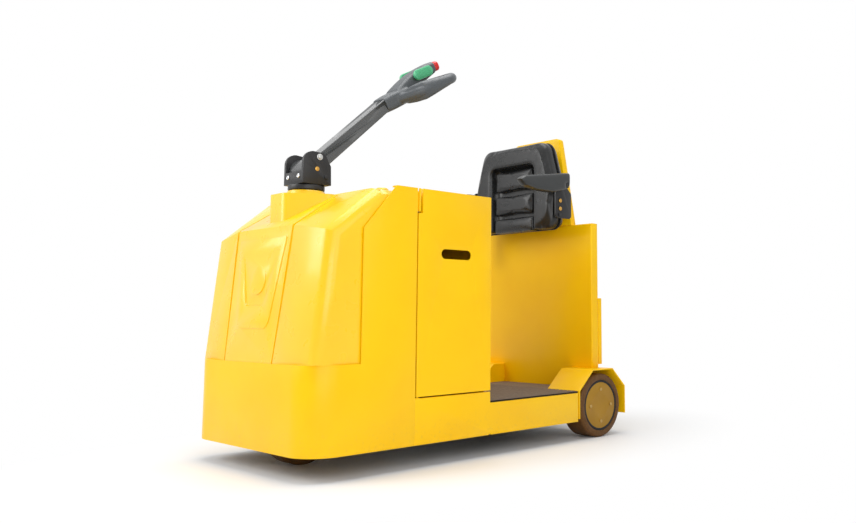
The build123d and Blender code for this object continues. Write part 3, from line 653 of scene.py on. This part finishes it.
@dataclass(frozen=True)
class Stuffing:
    """A stuffed cover: a fine mesh, drawn in a little and swelled out by simulation."""

    voxel: float
    cap: float
    easing: int
    fill: float
    drawn_in: float = 0.0015
    pressure: float = 4.0
    frames: int = 20

    def swell(self, piece: bpy.types.Object) -> None:
        """Swells a closed mesh from inside, with no point further from home than the cap.

        Args:
            piece: the closed mesh.
        """
        homes = [vertex.co.copy() for vertex in piece.data.vertices]
        only(piece)
        cloth = piece.modifiers.new("cloth", "CLOTH")
        cloth.settings.use_pressure = True
        cloth.settings.uniform_pressure_force = self.pressure
        cloth.settings.effector_weights.gravity = 0.0
        cloth.point_cache.frame_start = 1
        cloth.point_cache.frame_end = self.frames
        for number in range(1, self.frames + 1):
            bpy.context.scene.frame_set(number)
        bpy.ops.object.modifier_apply(modifier=cloth.name)
        bpy.context.scene.frame_set(1)
        for vertex, home in zip(piece.data.vertices, homes):
            step = vertex.co - home
            if step.length > self.cap:
                vertex.co = home + step * (self.cap / step.length)

    def stuff(self, piece: bpy.types.Object) -> None:
        """Args:
            piece: the closed shape.
        """
        modify(piece, "REMESH", mode="VOXEL", voxel_size=self.voxel)
        modify(piece, "DISPLACE", strength=-self.drawn_in, mid_level=0.0)
        modify(piece, "SMOOTH", factor=0.5, iterations=self.easing)
        self.swell(piece)
        modify(piece, "SUBSURF", levels=1, render_levels=1)
        only(piece)
        bpy.ops.object.shade_smooth()


@dataclass
class Studio:
    """The floor, the lights and the camera at the photograph's viewing angle."""

    photo_width: int = 856
    photo_height: int = 523
    camera_place: Point = (2.0576, 2.525, 0.4911)
    heading: float = 3.8872
    pitch: float = 0.1092
    roll: float = -0.0027
    focal_px: float = 834.21
    centre_px: tuple[float, float] = (548.68, 221.81)
    sensor: float = 36.0
    glow: Colour = (0.95, 0.97, 1.0, 1.0)
    glow_strength: float = 0.38
    white: Colour = (1.0, 1.0, 1.0, 1.0)
    floor_radius: float = 14.0
    floor_shades: tuple[Colour, Colour] = ((0.93, 0.93, 0.93, 1.0), (0.95, 0.95, 0.95, 1.0))
    fade_outline: Point = (0.55, 1.0, 1.0)
    fade_from: float = 0.44
    fade_to: float = 0.95

    def camera(self) -> None:
        """Places the camera where the photograph was taken."""
        bpy.ops.object.camera_add(location=self.camera_place)
        camera = bpy.context.object
        camera.name = "camera"
        flat = math.cos(self.pitch)
        ahead = Vector((flat * math.cos(self.heading), flat * math.sin(self.heading), math.sin(self.pitch)))
        right = Vector((math.sin(self.heading), -math.cos(self.heading), 0.0))
        right.rotate(Matrix.Rotation(-self.roll, 3, ahead))
        above = right.cross(ahead)
        camera.rotation_euler = Matrix((right, above, -ahead)).transposed().to_euler()
        camera.data.sensor_width = self.sensor
        camera.data.lens = self.focal_px / self.photo_width * self.sensor
        camera.data.shift_x = (self.photo_width / 2 - self.centre_px[0]) / self.photo_width
        camera.data.shift_y = (self.centre_px[1] - self.photo_height / 2) / self.photo_width
        camera.data.clip_end = 100.0
        bpy.context.scene.camera = camera

    def lamp(self, name: str, place: Point, target: Point, size: float, power: float) -> None:
        """Adds a square softbox that faces a target.

        Args:
            name: the lamp's name.
            place: where it hangs.
            target: the point that it faces.
            size: its side.
            power: its power in watts.
        """
        aim = (Vector(target) - Vector(place)).to_track_quat("-Z", "Y")
        bpy.ops.object.light_add(type="AREA", location=place, rotation=aim.to_euler())
        lamp = bpy.context.object
        lamp.name = name
        lamp.data.energy = power
        lamp.data.size = size

    def backdrop(self) -> None:
        """Lights the world softly, and shows it white to the eye and in what mirrors it."""
        world = bpy.data.worlds.new("studio")
        bpy.context.scene.world = world
        world.use_nodes = True
        tree = world.node_tree
        tree.nodes.clear()
        mix = tree.nodes.new("ShaderNodeMixShader")
        for socket, colour, strength in ((1, self.glow, self.glow_strength), (2, self.white, 1.0)):
            background = tree.nodes.new("ShaderNodeBackground")
            background.inputs["Color"].default_value = colour
            background.inputs["Strength"].default_value = strength
            tree.links.new(background.outputs[0], mix.inputs[socket])
        path = tree.nodes.new("ShaderNodeLightPath")
        seen = path.outputs["Is Camera Ray"]
        for ray in ("Is Transmission Ray", "Is Glossy Ray"):
            either = tree.nodes.new("ShaderNodeMath")
            either.operation = "MAXIMUM"
            tree.links.new(seen, either.inputs[0])
            tree.links.new(path.outputs[ray], either.inputs[1])
            seen = either.outputs[0]
        tree.links.new(seen, mix.inputs["Fac"])
        output = tree.nodes.new("ShaderNodeOutputWorld")
        tree.links.new(mix.outputs[0], output.inputs["Surface"])

    def floor(self) -> None:
        """Lays the white floor, which keeps the shadow near the machine and fades into the backdrop."""
        bpy.ops.mesh.primitive_circle_add(vertices=96, radius=self.floor_radius, fill_type="NGON")
        floor = bpy.context.object
        floor.name = "floor"
        ground = Recipe("white_floor")
        ground.drive("Base Color", ground.blend(ground.noise(2.0), *self.floor_shades))
        ground.set(Roughness=0.6, Specular_IOR_Level=0.2)
        outline = ground.stretched(self.fade_outline)
        distance = ground.add("ShaderNodeVectorMath", {0: outline}, operation="LENGTH").outputs["Value"]
        far = ground.span(distance, low=self.fade_from, high=self.fade_to, bottom=0.0, top=1.0)
        path = ground.add("ShaderNodeLightPath")
        seen = ground.combine("MAXIMUM", path.outputs["Is Camera Ray"], path.outputs["Is Glossy Ray"])
        share = ground.combine("MULTIPLY", far, seen)
        white = ground.add("ShaderNodeEmission", values={"Color": self.white, "Strength": 1.0})
        mixed = ground.add("ShaderNodeMixShader", {0: share, 1: ground.shader.outputs["BSDF"],
                                                   2: white.outputs["Emission"]})
        output = next(node for node in ground.tree.nodes if node.type == "OUTPUT_MATERIAL")
        ground.tree.links.new(mixed.outputs[0], output.inputs["Surface"])
        floor.data.materials.append(ground.material)

    def build(self) -> None:
        """Sets up the whole studio."""
        bpy.context.scene.view_settings.view_transform = "Standard"
        self.camera()
        self.backdrop()
        self.floor()
        self.lamp("front_softbox", place=(3.2, -1.6, 2.4), target=(0.2, 0.0, 0.7), size=2.4, power=76.0)
        self.lamp("side_softbox", place=(0.6, 3.6, 1.8), target=(-0.1, 0.2, 0.6), size=2.6, power=28.0)
        self.lamp("top_softbox", place=(0.0, 0.2, 4.0), target=(0.0, 0.0, 0.0), size=2.8, power=92.0)
        self.lamp("fill_softbox", place=(1.9, 2.8, 1.2), target=(-0.5, 0.0, 0.6), size=1.8, power=21.0)


@dataclass
class Bodywork:
    """The painted panels: nose, cover, doors, sills, rear body, tower and fenders."""

    edge: float = 0.0008
    moulded_edge: float = 0.0025
    web_low: Point = (0.4395, 0.3385, 0.860)
    web_high: Point = (0.4860, 0.3575, 0.886)
    web_slope: Point = (0.0, 0.0155, 0.018)

    def corner_web(self, side: str, sign: int) -> None:
        """Carries the cover's shoulder on to the side panel's return with a sloping web.

        Args:
            side: the side's name.
            sign: 1 on the left and -1 on the right.
        """
        web = block(self.web_low, self.web_high)
        crest = (self.web_low[0], self.web_low[1], self.web_high[2])
        choose(web, lambda face: True)
        bpy.ops.mesh.bisect(plane_co=crest, plane_no=self.web_slope, use_fill=True, clear_outer=True)
        bpy.ops.object.mode_set(mode="OBJECT")
        if sign < 0:
            web.scale = (1.0, -1.0, 1.0)
            settle(web)
            face_outwards(web)
        soften(web, self.edge)
        dress(web, f"corner_web_{side}", body_of("front_cover"), Finish.COVER)

    def build(self) -> None:
        """Finishes every panel."""
        for node in ("front_shell", "top_deck", "rear_bulkhead", "service_door_left", "service_door_right",
                     "door_hinges", "side_sill_left", "side_sill_right", "rear_panel", "rear_box",
                     "backrest_tower", "fender_left", "fender_right"):
            skin(node, Finish.YELLOW, self.edge)
        skin("front_cover", Finish.COVER, self.moulded_edge)
        skin("cover_cap", Finish.COVER, self.edge)
        skin("dash_panel", Finish.BLACK_PLASTIC, self.edge)
        for side, sign in (("left", 1), ("right", -1)):
            self.corner_web(side, sign)


@dataclass
class Running:
    """The frame, the drive unit, the axle and the wheels."""

    rim_y: float = 0.363
    rim_radius: float = 0.0945
    rim_thickness: float = 0.0054
    rim_flatness: float = 0.7
    stud: Fastener = Fastener(radius=0.0064, height=0.0030, sides=24, crown=0.0010)
    stud_circle: float = 0.0625
    stud_sunk: float = 0.0021

    def rim(self, side: str, sign: int) -> None:
        """Lays the black ring between a wheel's disc and its tyre.

        Args:
            side: the side's name.
            sign: 1 on the left and -1 on the right.
        """
        low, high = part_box(f"rear_hub_{side}")
        centre = ((low[0] + high[0]) / 2, sign * self.rim_y, (low[2] + high[2]) / 2)
        bpy.ops.object.select_all(action="DESELECT")
        bpy.ops.mesh.primitive_torus_add(major_radius=self.rim_radius, minor_radius=self.rim_thickness,
                                         major_segments=72, minor_segments=12)
        ring = bpy.context.object
        choose(ring, lambda face: True)
        bpy.ops.transform.resize(value=(1.0, 1.0, self.rim_flatness), center_override=(0.0, 0.0, 0.0))
        bpy.ops.object.mode_set(mode="OBJECT")
        stand(ring, centre, (0.0, float(sign), 0.0))
        only(ring)
        bpy.ops.object.shade_smooth()
        dress(ring, f"rim_ring_{side}", body_of(f"rear_hub_{side}"), Finish.BLACK_RUBBER)

    def studs(self, side: str, sign: int) -> None:
        """Fits a wheel's four bolts on the face of its disc.

        Args:
            side: the side's name.
            sign: 1 on the left and -1 on the right.
        """
        hub = f"rear_hub_{side}"
        low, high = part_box(hub)
        x, z = (low[0] + high[0]) / 2, (low[2] + high[2]) / 2
        y = sign * (max(abs(low[1]), abs(high[1])) - self.stud_sunk)
        turns = [math.radians(angle) for angle in (0, 90, 180, 270)]
        places = tuple((x + self.stud_circle * math.cos(turn), y, z + self.stud_circle * math.sin(turn))
                       for turn in turns)
        self.stud.fit(f"wheel_stud_{side}", places, (0.0, float(sign), 0.0), body_of(hub), Finish.STUD,
                      "wheel_disc")

    def build(self) -> None:
        """Finishes the running gear."""
        for node in ("chassis_frame", "rear_axle", "drive_fork"):
            skin(node, Finish.PRIMER)
        for node in ("battery", "drive_motor", "drive_hub", "tow_coupling"):
            skin(node, Finish.BLACK_STEEL)
        for node in ("rear_tyre_left", "rear_tyre_right", "drive_tyre"):
            skin(node, Finish.TYRE, edge=0.002)
        for side, sign in (("left", 1), ("right", -1)):
            skin(f"rear_hub_{side}", Finish.DISC, edge=0.0005)
            self.rim(side, sign)
            self.studs(side, sign)
        skin("tow_pin", Finish.ZINC, edge=0.0006)


@dataclass
class Tiller:
    """The steering column, the tiller's base, arm and head."""

    pivot: Point = (0.542, 0.0, 0.979)
    arm_angle: float = 43.0
    arm_length: float = 0.412
    head_angle: float = 29.0
    head_voxel: float = 0.0028
    head_easing: int = 9
    # along the head, outwards, half width, half height
    bar_sections: tuple[tuple[float, float, float, float], ...] = (
        (0.085, 0.050, 0.019, 0.027), (0.112, 0.074, 0.021, 0.033), (0.142, 0.092, 0.0215, 0.035),
        (0.180, 0.096, 0.021, 0.031), (0.220, 0.096, 0.0205, 0.0265), (0.262, 0.096, 0.020, 0.022),
        (0.282, 0.096, 0.0195, 0.0198),
    )
    rocker_edge: float = 0.003
    rocker_along: float = 0.215
    rocker_lift: float = 0.058
    rocker_out: float = 0.0495
    rib_count: int = 12
    rib_pitch: float = 0.0062
    rib_reach: float = 0.0165
    rib_straight: float = 0.026
    rib_shortening: float = 0.35
    rib_taper: float = 0.003
    rib_middle: tuple[float, float] = (0.0014, 0.0019)
    rib_tip: tuple[float, float] = (0.0008, 0.0012)
    seat: float = 0.0002
    cheek_y: float = 0.061
    cheek_bolt: Fastener = Fastener(radius=0.0085, height=0.006, washer=0.011)
    cheek_bolt_place: tuple[float, float] = (0.533, 1.021)
    cheek_nut: Fastener = Fastener(radius=0.0075, height=0.006, washer=0.010)
    cheek_nut_place: tuple[float, float] = (0.508, 0.953)
    base_screw: Fastener = Fastener(radius=0.0075, height=0.0042, sides=32, crown=0.0026, socket=0.0028)
    base_screw_place: Point = (0.5947, 0.033, 0.952)

    def head_place(self) -> Matrix:
        """Works out where the head is.

        Returns:
            Its own place: X to the right, Y up out of the head, Z along it from the arm's end.
        """
        arm, head = math.radians(self.arm_angle), math.radians(self.head_angle)
        ahead = Vector((-math.cos(head), 0.0, math.sin(head)))
        lift = Vector((math.sin(head), 0.0, math.cos(head)))
        turned = Matrix((lift.cross(ahead), lift, ahead)).transposed().to_4x4()
        arm_end = (self.pivot[0] - self.arm_length * math.cos(arm), self.pivot[1],
                   self.pivot[2] + self.arm_length * math.sin(arm))
        return Matrix.Translation(arm_end) @ turned

    def head(self) -> None:
        """Models the head as one smooth moulding, with the handles deep at the hub and slim at the tip."""
        head = weld_copy("tiller_head")
        bars = []
        for side in (1, -1):
            bar = oval_bar(tuple(((side * out, 0.0, along), wide, high)
                                 for along, out, wide, high in self.bar_sections))
            place_in(bar, self.head_place())
            bars.append(bar)
        merge(head, bars)
        modify(head, "REMESH", mode="VOXEL", voxel_size=self.head_voxel)
        modify(head, "SMOOTH", factor=0.5, iterations=self.head_easing)
        only(head)
        bpy.ops.object.shade_smooth()
        dress(head, "tiller_head_finished", body_of("tiller_head"), Finish.HEAD)
        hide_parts("tiller_head")

    def rib(self, offset: float) -> bpy.types.Object:
        """Models a grip rib of the rocker, a slim bar that tapers at its ends.

        Args:
            offset: its distance from the rocker's middle, which shortens the outer ribs.

        Returns:
            The rib, along Z with its middle at the origin.
        """
        reach = self.rib_reach - self.rib_shortening * max(0.0, abs(offset) - self.rib_straight)
        stations = ((-reach, self.rib_tip), (self.rib_taper - reach, self.rib_middle),
                    (reach - self.rib_taper, self.rib_middle), (reach, self.rib_tip))
        return oval_bar(tuple(((0.0, 0.0, z), wide, high) for z, (wide, high) in stations), vertices=10)

    def rocker(self) -> None:
        """Finishes the thumb rocker and raises the grip ribs on both its faces."""
        skin("thumb_rocker", Finish.GREEN_PLASTIC, self.rocker_edge)
        upright = Matrix.Rotation(-math.pi / 2, 4, "X")
        ribs = []
        for side in (1, -1):
            for number in range(self.rib_count):
                offset = (number - (self.rib_count - 1) / 2) * self.rib_pitch
                middle = (side * self.rocker_out, self.rocker_lift, self.rocker_along + offset)
                rib = self.rib(offset)
                place_in(rib, self.head_place() @ Matrix.Translation(middle) @ upright)
                ribs.append(rib)
        merge(ribs[0], ribs[1:])
        only(ribs[0])
        bpy.ops.object.shade_smooth()
        dress(ribs[0], "rocker_ribs", body_of("thumb_rocker"), Finish.GREEN_PLASTIC)

    def base_fasteners(self) -> None:
        """Fits the bolts of the tiller's base: one bolt and one nut on each cheek, two screws in front."""
        body = body_of("tiller_base")
        for name, side in (("left", 1.0), ("right", -1.0)):
            y = side * (self.cheek_y - self.seat)
            outwards = (0.0, side, 0.0)
            x, z = self.cheek_bolt_place
            self.cheek_bolt.fit(f"cheek_bolt_{name}", ((x, y, z),), outwards, body, Finish.ZINC, "zinc")
            x, z = self.cheek_nut_place
            self.cheek_nut.fit(f"cheek_nut_{name}", ((x, y, z),), outwards, body, Finish.BLACK_STEEL,
                               "black_steel")
        x, y, z = self.base_screw_place
        self.base_screw.fit("base_screw", ((x, y, z), (x, -y, z)), (1.0, 0.0, 0.0), body, Finish.CHROME,
                            "zinc")

    def build(self) -> None:
        """Finishes the tiller."""
        for node in ("steering_column", "tiller_base"):
            skin(node, Finish.BLACK_STEEL, edge=0.0015)
        skin("tiller_pivot", Finish.BRASS, edge=0.001)
        skin("tiller_arm", Finish.ARM, edge=0)
        self.head()
        self.rocker()
        skin("belly_button", Finish.RED_PLASTIC, edge=0)
        self.base_fasteners()


@dataclass
class Backrest:
    """The padded backrest with its shell, mount and armrests."""

    pocket_floor_x: float = -0.486
    pocket_half: float = 0.128
    pocket_top: float = 1.120
    pocket_overshoot: float = 0.08
    pocket_edge: float = 0.026
    bolster_stuffing: Stuffing = Stuffing(voxel=0.0055, cap=0.007, easing=26, fill=0.85)
    pad_sunk: float = 0.004
    pad_front_x: float = -0.449
    pad_edge: float = 0.012
    pad_stuffing: Stuffing = Stuffing(voxel=0.0045, cap=0.005, easing=8, fill=0.9)
    # bottom, top, half width
    pads: tuple[tuple[float, float, float], ...] = ((1.013, 1.106, 0.112), (0.912, 1.000, 0.115),
                                                    (0.834, 0.900, 0.118))
    armrest_voxel: float = 0.004
    armrest_easing: int = 50
    seat: float = 0.0002
    bracket_y: float = 0.254
    bracket_bolt: Fastener = Fastener(radius=0.0085, height=0.0055, sides=32, crown=0.0035)
    bracket_bolt_places: tuple[tuple[float, float], ...] = ((-0.470, 0.951), (-0.470, 0.918))
    bracket_nut: Fastener = Fastener(radius=0.0080, height=0.006, washer=0.010)
    bracket_nut_place: tuple[float, float] = (-0.466, 0.893)

    def bolster(self) -> None:
        """Models the crowned bolster that frames the pads, with its pocket."""
        bolster = weld_copy("backrest_cushion")
        low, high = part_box("backrest_cushion")
        pocket = block((self.pocket_floor_x, -self.pocket_half, low[2] - self.pocket_overshoot),
                       (high[0] + self.pocket_overshoot, self.pocket_half, self.pocket_top))
        modify(pocket, "BEVEL", width=self.pocket_edge, segments=5, limit_method="NONE")
        modify(bolster, "BOOLEAN", operation="DIFFERENCE", object=pocket, solver="EXACT")
        bpy.data.objects.remove(pocket)
        self.bolster_stuffing.stuff(bolster)
        dress(bolster, "backrest_bolster", body_of("backrest_cushion"), Finish.VINYL)
        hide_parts("backrest_cushion")

    def pad(self, number: int, bottom: float, top: float, half: float) -> None:
        """Models one of the cross pads that fill the pocket.

        Args:
            number: its number from the top.
            bottom: its lower edge.
            top: its upper edge.
            half: half its width.
        """
        pad = block((self.pocket_floor_x - self.pad_sunk, -half, bottom), (self.pad_front_x, half, top))
        modify(pad, "BEVEL", width=self.pad_edge, segments=3, limit_method="NONE")
        self.pad_stuffing.stuff(pad)
        dress(pad, f"backrest_pad_{number}", body_of("backrest_cushion"), Finish.VINYL)

    def armrest(self, node: str) -> None:
        """Rounds an armrest's foam moulding.

        Args:
            node: the armrest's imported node.
        """
        rest = weld_copy(node)
        modify(rest, "REMESH", mode="VOXEL", voxel_size=self.armrest_voxel)
        modify(rest, "SMOOTH", factor=0.5, iterations=self.armrest_easing)
        modify(rest, "SUBSURF", levels=1, render_levels=1)
        only(rest)
        bpy.ops.object.shade_smooth()
        dress(rest, f"{node}_finished", body_of(node), Finish.ARMREST)
        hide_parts(node)

    def bracket_fasteners(self) -> None:
        """Fits the bolts of the brackets at the backrest's sides."""
        body = body_of("backrest_mount")
        for name, side in (("left", 1.0), ("right", -1.0)):
            y = side * (self.bracket_y - self.seat)
            outwards = (0.0, side, 0.0)
            places = tuple((x, y, z) for x, z in self.bracket_bolt_places)
            self.bracket_bolt.fit(f"bracket_bolt_{name}", places, outwards, body, Finish.BRASS, "brass")
            x, z = self.bracket_nut_place
            self.bracket_nut.fit(f"bracket_nut_{name}", ((x, y, z),), outwards, body, Finish.BLACK_STEEL,
                                 "black_steel")

    def build(self) -> None:
        """Finishes the backrest."""
        skin("backrest_mount", Finish.BLACK_STEEL, edge=0.0015)
        skin("backrest_shell", Finish.BLACK_PLASTIC, edge=0.004)
        self.bolster()
        for number, (bottom, top, half) in enumerate(self.pads, 1):
            self.pad(number, bottom, top, half)
        self.armrest("armrest_left")
        self.armrest("armrest_right")
        self.bracket_fasteners()


@dataclass
class Platform:
    """The operator's platform and its ribbed mat."""

    rib_count: int = 34
    rib_height: float = 0.0014
    rib_edge: float = 0.0004
    sheet_height: float = 0.0003
    sheet_thickness: float = 0.0015
    border: float = 0.010

    def ribs(self) -> None:
        """Raises the mat's ribs inside its plain border."""
        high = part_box("step_mat")[1]
        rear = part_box("fender_left")[1][0] + self.border
        front = high[0] - self.border
        half = high[1] - self.border
        columns = 2 * self.rib_count + 1
        bpy.ops.object.select_all(action="DESELECT")
        bpy.ops.mesh.primitive_grid_add(x_subdivisions=1, y_subdivisions=columns, size=1.0,
                                        location=((rear + front) / 2, 0.0, high[2] + self.sheet_height))
        mat = bpy.context.object
        mat.scale = (front - rear, 2 * half, 1.0)
        settle(mat)
        choose(mat, lambda face: True)
        bpy.ops.mesh.extrude_region_move(TRANSFORM_OT_translate={"value": (0.0, 0.0, -self.sheet_thickness)})
        bpy.ops.object.mode_set(mode="OBJECT")
        face_outwards(mat)
        pitch = 2 * half / columns
        choose(mat, lambda face: face.normal.z > 0.9 and round((face.center.y + half) / pitch - 0.5) % 2 == 0)
        bpy.ops.mesh.extrude_region_move(TRANSFORM_OT_translate={"value": (0.0, 0.0, self.rib_height)})
        bpy.ops.object.mode_set(mode="OBJECT")
        soften(mat, self.rib_edge, 1)
        dress(mat, "mat_ribs", body_of("step_mat"), Finish.MAT)

    def build(self) -> None:
        """Finishes the platform."""
        skin("platform_floor", Finish.PRIMER)
        skin("step_mat", Finish.MAT, self.rib_edge)
        self.ribs()


def main() -> None:
    """Builds the studio and the machine's looks, sub-assembly by sub-assembly."""
    logging.basicConfig(level=logging.INFO, format="%(name)s %(message)s")
    Studio().build()
    for part in (Bodywork(), Running(), Tiller(), Backrest(), Platform()):
        part.build()
        log.info("%s done", type(part).__name__)


if __name__ == "__main__":
    main()
